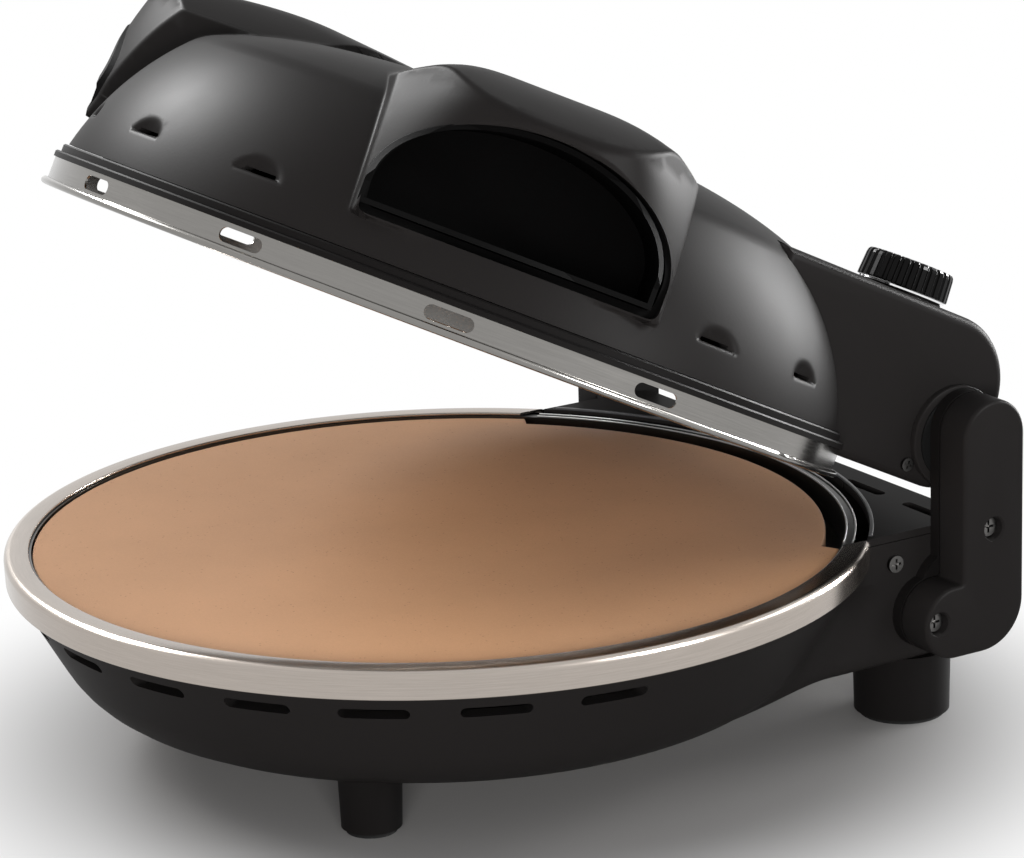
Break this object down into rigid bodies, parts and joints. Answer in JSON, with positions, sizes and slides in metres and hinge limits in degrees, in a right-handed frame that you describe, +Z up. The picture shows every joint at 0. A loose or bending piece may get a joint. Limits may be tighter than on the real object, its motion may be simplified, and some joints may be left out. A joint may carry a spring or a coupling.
{
  "type": "electric pizza maker",
  "caption": "Round electric pizza maker: domed lid with side finger hoods on a rear hinge, steel-ringed base with a removable baking stone, thermostat and timer knobs.",
  "frame": {"origin": "on the table under the middle of the whole appliance, between the front of the steel ring and the back of the open lid's housing", "axes": "+X to the appliance's own right as seen from behind its front edge looking to the hinge, -Y the front, +Y the hinge side, +Z up"},
  "size_m": [0.35, 0.3736, 0.2987],
  "materials": {
    "shell_plastic": "satin",
    "dark_plastic": "satin",
    "pocket_plastic": "satin",
    "knob_plastic": "gloss",
    "ring_steel": "polished",
    "pan_steel": "satin",
    "screw_steel": "plain",
    "heater_steel": "oxidised",
    "chrome_trim": "polished",
    "bush_brass": "plain",
    "stone": "fired, matt",
    "rubber": "matt",
    "friction_disc": "plain",
    "insulator": "matt",
    "wire_sleeve": "woven sleeve",
    "lens_red": "translucent",
    "lens_green": "translucent"
  },
  "bodies": {
    "base": {"base_bowl": "shell_plastic", "base_ring": "ring_steel", "deck_cover": "shell_plastic", "lower_pan": "pan_steel", "pan_screws": "screw_steel", "lower_element": "heater_steel", "lower_clips": "pan_steel", "lower_limiter": "insulator", "terminal_block": "insulator", "base_wiring": "wire_sleeve", "cord_gland": "dark_plastic", "deck_screws": "screw_steel", "front_foot_right": "dark_plastic", "front_foot_left": "dark_plastic", "rear_foot_right": "dark_plastic", "rear_foot_left": "dark_plastic", "foot_pads": "rubber", "foot_screws": "screw_steel", "arm_right": "shell_plastic", "arm_left": "shell_plastic", "arm_liner_right": "dark_plastic", "arm_liner_left": "dark_plastic", "arm_screws": "screw_steel", "hinge_pin_right": "screw_steel", "hinge_pin_left": "screw_steel", "friction_washers": "friction_disc"},
    "stone": {"baking_stone": "stone"},
    "lid": {"hinge_bush_right": "bush_brass", "hinge_bush_left": "bush_brass", "lid_dome": "shell_plastic", "lid_rim": "dark_plastic", "lid_skirt": "ring_steel", "hood_pocket_right": "pocket_plastic", "hood_pocket_left": "pocket_plastic", "upper_reflector": "pan_steel", "heat_shield": "pan_steel", "reflector_screws": "screw_steel", "upper_element": "heater_steel", "upper_clips": "pan_steel", "upper_limiter": "insulator", "hinge_housing": "shell_plastic", "housing_cover": "dark_plastic", "housing_screws": "screw_steel", "lid_wiring": "wire_sleeve", "thermostat": "insulator", "timer": "insulator", "thermostat_trim": "chrome_trim", "timer_trim": "chrome_trim", "power_lens": "lens_red", "ready_lens": "lens_green", "lamp_holders": "dark_plastic"},
    "thermostat_control": {"thermostat_shaft": "screw_steel", "thermostat_knob": "knob_plastic"},
    "timer_control": {"timer_shaft": "screw_steel", "timer_knob": "knob_plastic"}
  },
  "joints": [
    {"name": "lid_hinge", "type": "hinge", "parent": "base", "child": "lid", "pos_m": [0, 0.16018, 0.119], "axis": [-1, 0, 0], "range_deg": [-26.3, 68.7]},
    {"name": "stone_lift", "type": "slide", "parent": "base", "child": "stone", "axis": [0, 0, 1], "range_m": [0, 0.008]},
    {"name": "thermostat_turn", "type": "hinge", "parent": "lid", "child": "thermostat_control", "pos_m": [0.088, 0.157, 0.17802], "axis": [0, 0.4431, 0.8965], "range_deg": [-270, 0]},
    {"name": "timer_turn", "type": "hinge", "parent": "lid", "child": "timer_control", "pos_m": [-0.088, 0.157, 0.17802], "axis": [0, 0.4431, 0.8965], "range_deg": [-300, 0]}
  ]
}
